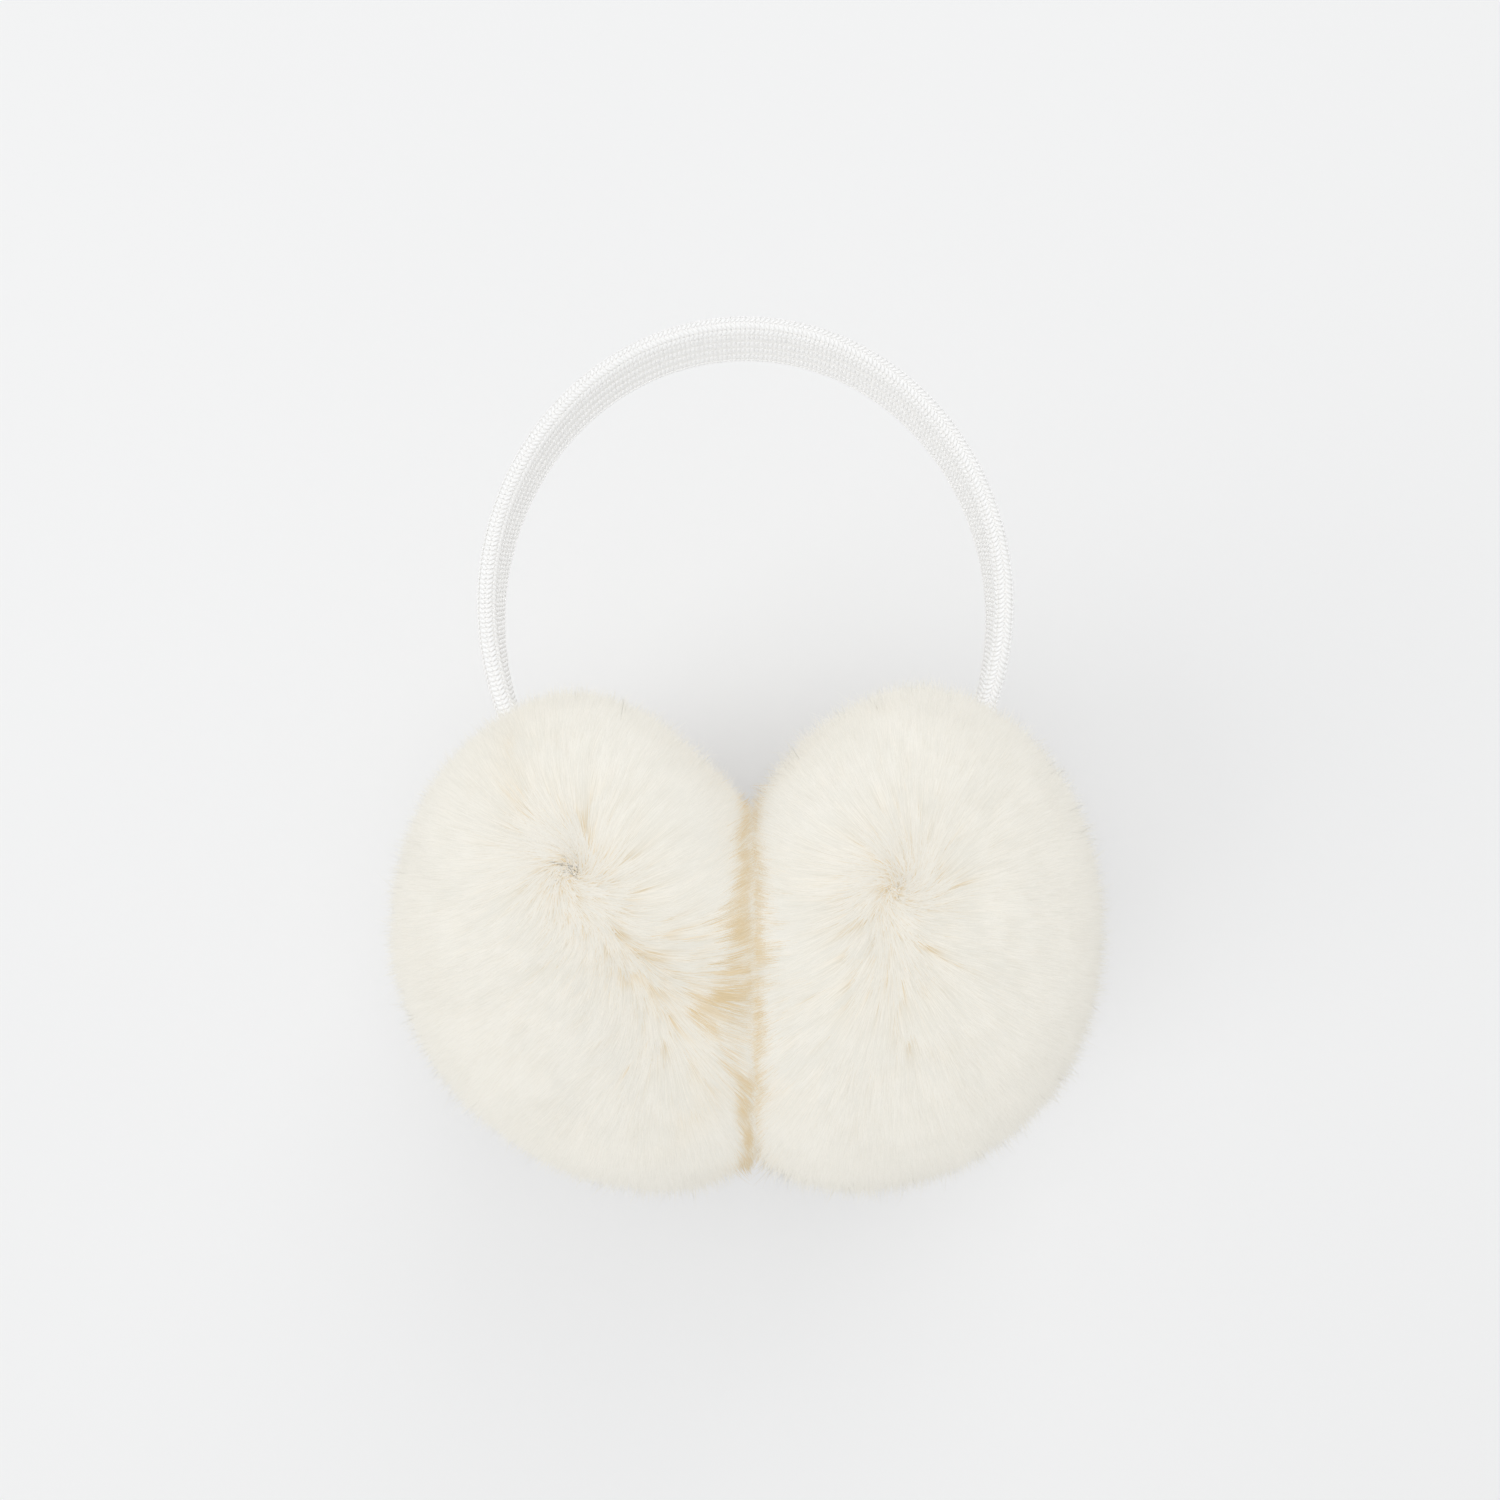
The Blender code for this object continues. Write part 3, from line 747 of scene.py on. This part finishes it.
def growFur(name, pad, count):
    rng = np.random.default_rng(pad["seed"])
    ways = rootWays(pad, count, rng)
    count = len(ways)
    surface, _ = padSurface(pad, ways, 0.0)
    roots, normals = skinPoints(pad, ways)
    lean, swept = combWays(pad, surface, normals)

    # Clumps and locks: each takes its own lean, length and tone.
    clumpCount = int(fur["area"] / fur["clumpGap"] ** 2)
    lockCount = int(fur["area"] / fur["lockGap"] ** 2)
    clumpWays = ways[rng.permutation(count)[:clumpCount]]
    lockWays = ways[rng.permutation(count)[:lockCount]]
    clumpRoots, clumpNormals = skinPoints(pad, clumpWays)
    lockRoots, lockNormals = skinPoints(pad, lockWays)
    clump = nearestIndex(roots, clumpRoots)
    lock = nearestIndex(clumpRoots, lockRoots)
    clumpLean, _ = combWays(pad, padSurface(pad, clumpWays, 0.0)[0], clumpNormals)
    clumpLean += slowNoise(clumpRoots, 55.0, pad["seed"]) * fur["swirl"]
    lockStray = rng.normal(0.0, fur["clumpStray"] * 0.6, (lockCount, 3))
    clumpLean += rng.normal(0.0, fur["clumpStray"], (clumpCount, 3)) + lockStray[lock]
    lockSize = rng.normal(1.0, fur["lockUneven"], lockCount)
    clumpSize = rng.normal(1.0, fur["clumpUneven"], clumpCount) * lockSize[lock]
    clumpTone = rng.normal(0.0, fur["clumpTone"], clumpCount)
    clumpTone += rng.normal(0.0, fur["lockTone"], lockCount)[lock]
    clumpTone = np.clip(clumpTone, -fur["toneLimit"], fur["toneLimit"])
    slow = slowNoise(clumpRoots, 38.0, pad["seed"] + 7)[:, 0]
    clumpSize *= 1 + fur["slowSwell"] * slow

    size = fur["length"] * clumpSize[clump] * (1 - np.abs(rng.normal(0.0, fur["uneven"], count)))
    fromSeam = pad["side"] * (surface[:, 0] - seamX) / padSize["seamSinkWidth"]
    size *= 1 - padSize["seamSink"] * np.exp(-(np.maximum(fromSeam, 0) ** 2))
    rim = 1 - np.abs(normals[:, 2])
    longer = rng.random(count) < fur["longHairs"] + fur["rimHairs"] * rim
    stretch = (fur["longest"][0], fur["longest"][1] + fur["rimLonger"] * rim)
    size = np.where(longer, size * rng.uniform(*stretch), size)
    whiter = np.zeros(count)
    for tuft in pad["tufts"]:
        near = np.exp(-(np.linalg.norm(planOf(pad, surface) - tuft["at"], axis=1) / tuft["reach"]) ** 2)
        near *= smoothStep((surface[:, 2] - 0.055) / 0.02)
        size *= 1 + tuft["longer"] * near
        whiter = np.maximum(whiter, tuft["whiter"] * near)
    for crease in pad["creases"]:
        share, spot, gap = creaseShare(pad, surface, crease)
        size *= 1 - crease["short"] * share
        plan = planOf(pad, surface)
        much = fur["creaseAside"] * np.exp(-((gap / (crease["width"] * fur["asideWidth"])) ** 2))
        aside = unit(plan - spot) * much[:, None]
        inner = np.linalg.norm(plan - fur["padMiddle"], axis=1) < np.linalg.norm(
            spot - fur["padMiddle"], axis=1)
        aside = np.where(inner[:, None] & (crease["over"] > 0), -aside * crease["over"] * 2, aside)
        lean[:, 0] += aside[:, 0] * pad["side"]
        lean[:, 1] += aside[:, 1]

    def tipOf(root, normal, leaning, length):
        flat = leaning - normal * np.sum(leaning * normal, axis=1, keepdims=True)
        return root + (normal + flat) * length[:, None]

    stray = fur["stray"] + (fur["fluff"] * (1 - swept) + fur["rimFluff"] * rim ** 2)[:, None]
    leaning = lean * 0.6 + clumpLean[clump] * 0.4 + rng.normal(0.0, 1.0, (count, 3)) * stray
    own = tipOf(roots, normals, leaning, size)
    clumpTips = tipOf(clumpRoots, clumpNormals, clumpLean, fur["length"] * clumpSize)
    lockTips = tipOf(lockRoots, lockNormals, lockStray, np.full(lockCount, fur["length"]))
    pull = (fur["clumpPull"] + fur["fanPull"] * swept) * rng.uniform(0.75, 1.1, count)
    tips = own + (clumpTips[clump] - own) * pull[:, None]
    tips += (lockTips[lock[clump]] - tips) * fur["lockPull"] * np.clip(swept + 0.3, 0, 1)[:, None]

    # What would cross the seam or the table spreads out along it instead.
    centre = padFrame(pad)[0]
    limit = -padSize["seamCross"] * rng.random(count) * rng.random(clumpCount)[clump]
    past = np.maximum(limit - pad["side"] * (tips[:, 0] - seamAt(tips)), 0)
    outwards = unit(np.stack([np.zeros(count), tips[:, 1] - centre[1], tips[:, 2] - centre[2]], 1))
    tips += outwards * (past * fur["spread"])[:, None]
    tips[:, 0] += pad["side"] * past
    low = np.maximum(padSize["tableGap"] + rng.uniform(0, 0.0004, count) - tips[:, 2], 0)
    outwards = unit(np.stack([tips[:, 0] - centre[0], tips[:, 1] - centre[1], np.zeros(count)], 1))
    tips += outwards * (low * fur["spread"])[:, None]
    tips[:, 2] += low

    # The strap passes through, so hairs part round it.
    pathPoints, _, pathOut, _ = bandPath(0.001)
    room = band["strapThickness"] / 2 + 0.0003
    closeBy = np.flatnonzero(np.abs(roots[:, 0] - pinPlace[sideName(pad)].x) < 0.03)
    keep = np.ones(count, bool)
    for spots in (roots[closeBy], (roots[closeBy] + tips[closeBy]) / 2, tips[closeBy]):
        near = nearestIndex(spots, pathPoints)
        offset = spots - pathPoints[near]
        across = offset @ strapAcross
        beside = np.sum(offset * pathOut[near], axis=1)
        inside = (np.abs(across) < band["strapWidth"] / 2 + 0.0003) & (np.abs(beside) < room)
        inside &= np.linalg.norm(offset - np.outer(across, strapAcross), axis=1) < 0.004
        keep[closeBy[inside]] = False

    # Each hair is a thin ribbon that tapers to its tip and faces out of the pile.
    aim = unit(tips - roots)
    facing = normals * 0.6 + np.array((0.0, 0.0, 0.4))
    facing = unit(facing - aim * np.sum(facing * aim, axis=1, keepdims=True))
    sideways = np.cross(aim, facing)
    spin = rng.normal(0.0, fur["spin"], (count, 1))
    sideways = sideways * np.cos(spin) + facing * np.sin(spin)
    facing = np.cross(sideways, aim)
    half = fur["width"] / 2 * rng.uniform(0.75, 1.25, (count, 1))
    wide = sideways * half
    points = np.stack([roots - wide, roots + wide, tips], 1)
    upwards = np.array((0.0, 0.0, fur["upNormal"]))
    soft = unit(normals * fur["softNormal"] + facing * fur["ownNormal"] + upwards)
    towards = np.sum(soft * facing, axis=1, keepdims=True)
    soft = soft + facing * (np.abs(towards) - towards)       # on the hair's upper side
    beneath = soft - 2 * facing * np.abs(towards)            # and the same, mirrored to its under side
    contrast = 0.35 + 0.85 * swept
    strayTone = clumpTone[clump] + rng.normal(0.0, fur["hairTone"], count)
    tone = 0.5 - fur["sweptTone"] * swept + strayTone * contrast + fur["whiterTone"] * whiter
    tone = np.clip(tone, 0.03, 0.97)

    # Root to tip, held back as painted shade in the hollows of the fur: at the seam, the parting and the
    # creases, changing slowly and from clump to clump.
    fromSeam = pad["side"] * (points[:, :, 0] - seamAt(surface)[:, None])
    waves = np.sin(surface[:, 1] * paintedFurShade["patchWaves"] + paintedFurShade["patchShift"])
    patchy = (0.5 + 0.5 * waves + paintedFurShade["patchTone"] * clumpTone[clump])[:, None]
    deep = paintedFurShade["seam"] * np.exp(-((fromSeam / paintedFurShade["seamReach"]) ** 2))
    deep += paintedFurShade["beside"] * patchy * np.exp(-((fromSeam / paintedFurShade["besideReach"]) ** 2))
    for crease in pad["creases"]:
        deep += crease["deep"] * creaseShare(pad, surface, crease)[0][:, None]
    _, fromParting = nearestOnLine(planOf(pad, surface), pad["parting"]["line"])
    partingShare = np.exp(-((fromParting / paintedFurShade["partingReach"]) ** 2))
    deep += (pad["parting"]["deep"] * partingShare * swept)[:, None]
    deep += paintedFurShade["slow"] * slow[clump][:, None]
    deep *= ((1 - whiter) * (paintedFurShade["clumpShare"] + paintedFurShade["clumpTone"] * clumpTone[clump]))[:, None]
    # Each hair's colour coordinate from root to tip, cut short by the painted shade.
    shadedRootToTip = np.array((0.0, 0.0, 1.0)) * (1 - np.clip(deep, 0, 0.95)) + 0.01

    order = np.argsort(roots[:, 2])[::-1]
    order = order[keep[order]]
    halfCount = (len(order) + 1) // 2
    made = []
    for piece, chosen in (("upper", order[:halfCount]), ("lower", order[halfCount:])):
        total = len(chosen)
        loops = np.arange(total * 3)
        sizes = np.full(total, 3)
        mesh = meshFromArrays(name + "_" + piece, points[chosen].reshape(-1, 3), loops,
                              np.cumsum(sizes) - sizes, sizes)
        aside = np.array((-0.004, 0.004, 0.0))
        uv = np.stack([tone[chosen][:, None] + aside, shadedRootToTip[chosen]], 2).reshape(-1, 2)
        for layer in ("hair", "OFBake"):
            addUv(mesh, layer, uv[loops])
        mesh.normals_split_custom_set_from_vertices(np.repeat(soft[chosen], 3, axis=0))
        for layer, ways in (("pile", soft), ("pileBeneath", beneath)):
            pile = mesh.attributes.new(layer, "FLOAT_VECTOR", "POINT")
            pile.data.foreach_set("vector", np.repeat(ways[chosen], 3, axis=0).astype(np.float32).ravel())
        made.append(addMesh(name + "_" + piece, mesh, furMaterialMade))
        letLightThrough(made[-1])
    print(name, "hairs", len(order), "clumps", clumpCount)
    return made


def furMaterial():
    material, nodes, links, shader = newMaterial("cream_fur")
    shader.inputs["Roughness"].default_value = 0.95
    shader.inputs["Specular IOR Level"].default_value = 0.0
    # Lit much as the pile faces, whichever side of the hair shows.
    sides = nodes.new("ShaderNodeMix")
    sides.data_type = "VECTOR"
    for name, socket in (("pile", 4), ("pileBeneath", 5)):
        pile = nodes.new("ShaderNodeAttribute")
        pile.attribute_name = name
        links.new(pile.outputs["Vector"], sides.inputs[socket])
    under = nodes.new("ShaderNodeNewGeometry")
    links.new(under.outputs["Backfacing"], sides.inputs[0])
    links.new(sides.outputs[1], shader.inputs["Normal"])
    material.cycles.use_bump_map_correction = False
    uv = nodes.new("ShaderNodeUVMap")
    uv.uv_map = "hair"
    parts = nodes.new("ShaderNodeSeparateXYZ")
    links.new(uv.outputs["UV"], parts.inputs["Vector"])
    # From root to tip: partly the undercoat's own warmer colour, partly painted shade that darkens to peach
    # towards the roots.
    undercoatAndShadeTones = [(0.0, (0.80, 0.63, 0.38)), (0.45, (0.936, 0.89, 0.79)), (1.0, (0.975, 0.956, 0.892))]
    length = addRamp(nodes, undercoatAndShadeTones, "root to tip")
    links.new(parts.outputs["Y"], length.inputs["Fac"])
    hairTones = [(0.0, (0.875, 0.875, 0.86)), (0.5, (0.97, 0.965, 0.955)), (1.0, (1.0, 1.0, 1.0))]
    tone = addRamp(nodes, hairTones, "hair to hair")
    links.new(parts.outputs["X"], tone.inputs["Fac"])
    mix = nodes.new("ShaderNodeMix")
    mix.data_type = "RGBA"
    mix.blend_type = "MULTIPLY"
    mix.inputs["Factor"].default_value = 1.0
    links.new(length.outputs["Color"], mix.inputs["A"])
    links.new(tone.outputs["Color"], mix.inputs["B"])
    links.new(mix.outputs["Result"], shader.inputs["Base Color"])
    return material


# Put it together

skinMaterialMade = skinMaterial()
furMaterialMade = furMaterial()

sleeveMesh = sweptStrap("knit_sleeve", -band["yarnDepth"], 24, 0.002)
sleeve = addMesh("knit_sleeve", sleeveMesh, sleeveMaterial())
sleeve.data.shade_smooth()
stitches = addMesh("knit_stitches", stitchLegs(), knitMaterial())
for piece in (sleeve, stitches):
    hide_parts("headband")
letLightThrough(sleeve)
letLightThrough(stitches)
print("headband made:", len(stitches.data.polygons), "faces of yarn")

roomMesh = sweptStrap("strap_room", 0.0003, 24, 0.002)
strapRoom = bpy.data.objects.new("strap_room", roomMesh)
bpy.context.scene.collection.objects.link(strapRoom)
for name, pad in furPads.items():
    core = makeCore("under_fur_" + name, pad, strapRoom)
    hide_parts("fur_pad_" + name)
    for piece in growFur("fur_" + name, pad, fur["strands"] * 2):
        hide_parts("fur_pad_" + name)
    print("pad made:", name)
bpy.data.objects.remove(strapRoom)

pinMaterial, pinNodes, pinLinks, pinShader = newMaterial("pin_plastic")
pinShader.inputs["Roughness"].default_value = 0.45
pinCoords = pinNodes.new("ShaderNodeTexCoord")
pinNoise = addNoise(pinNodes, 300.0, 3.0, 0.5)
pinLinks.new(pinCoords.outputs["Object"], pinNoise.inputs["Vector"])
pinRamp = addRamp(pinNodes, [(0.3, (0.80, 0.80, 0.78)), (0.7, (0.86, 0.86, 0.84))], "moulded")
pinLinks.new(pinNoise.outputs["Fac"], pinRamp.inputs["Fac"])
pinLinks.new(pinRamp.outputs["Color"], pinShader.inputs["Base Color"])
for side in ("left", "right"):
    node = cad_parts["pad_pin_" + side]
    for index in range(len(node.material_slots)):
        node.material_slots[index].material = pinMaterial
